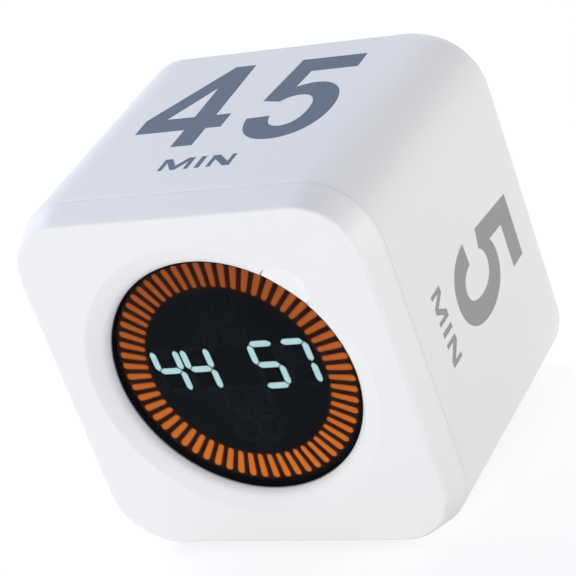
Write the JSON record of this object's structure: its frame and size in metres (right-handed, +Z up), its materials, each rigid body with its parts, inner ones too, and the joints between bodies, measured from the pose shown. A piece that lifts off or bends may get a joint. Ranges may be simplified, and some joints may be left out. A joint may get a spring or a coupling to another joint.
{
  "type": "digital timer",
  "caption": "Rounded cube countdown timer with a recessed round light-ring display, a half-moon push button, printed minute faces, and a rear cover with a charging socket and a slide switch.",
  "frame": {"origin": "middle of the bottom face of the cube's bounding box, on the surface it stands on", "axes": "+Z up through the side marked 45, -Y out of the display face, +X out of the side marked 5"},
  "size_m": [0.06, 0.049, 0.06],
  "materials": {
    "satin_white": "satin moulded ABS",
    "cover_white": "satin moulded ABS",
    "button_white": "satin moulded ABS",
    "smoked_lens": "polished smoked acrylic",
    "mask_black": "matt black",
    "amber_diffuser": "milky, lit amber from behind",
    "pale_diffuser": "milky, lit pale cyan from behind",
    "board_green": "solder mask",
    "bright_steel": "plated",
    "black_plastic": "moulded",
    "ivory_nylon": "moulded",
    "cell_foil": "foil pouch",
    "foam_grey": "closed-cell foam",
    "cone_paper": "pressed paper",
    "ribbon_film": "flat cable film"
  },
  "bodies": {
    "case": {"battery_cell": "cell_foil", "battery_connector": "ivory_nylon", "battery_pad": "foam_grey", "board_screw_1": "bright_steel", "board_screw_2": "bright_steel", "board_screw_3": "bright_steel", "board_screw_4": "bright_steel", "charger_chip": "black_plastic", "digit_diffuser": "pale_diffuser", "display_board": "board_green", "display_lens": "smoked_lens", "display_screw_1": "bright_steel", "display_screw_2": "bright_steel", "display_screw_3": "bright_steel", "display_screw_4": "bright_steel", "front_bezel": "satin_white", "housing_sleeve": "satin_white", "main_board": "board_green", "mcu_chip": "black_plastic", "rear_cover": "cover_white", "rear_screw_1": "bright_steel", "rear_screw_2": "bright_steel", "rear_screw_3": "bright_steel", "rear_screw_4": "bright_steel", "ribbon_cable": "ribbon_film", "ribbon_socket_front": "ivory_nylon", "ribbon_socket_rear": "ivory_nylon", "ring_diffuser": "amber_diffuser", "slide_switch_frame": "bright_steel", "speaker_cone": "cone_paper", "speaker_connector": "ivory_nylon", "speaker_frame": "bright_steel", "speaker_magnet": "bright_steel", "tact_switch_body": "black_plastic", "tilt_sensor": "black_plastic", "usb_c_shell": "bright_steel", "usb_c_tongue": "black_plastic", "window_mask": "mask_black"},
    "button": {"push_button": "button_white", "tact_plunger": "ivory_nylon"},
    "knob": {"slide_switch_knob": "black_plastic"}
  },
  "joints": [
    {"name": "button_push", "type": "slide", "parent": "case", "child": "button", "axis": [0, 1, 0], "range_m": [0, 0.0004], "stiffness_N_per_m": 400, "springref_m": -0.0002},
    {"name": "switch_slide", "type": "slide", "parent": "case", "child": "knob", "axis": [1, 0, 0], "range_m": [-0.002, 0.002]}
  ]
}
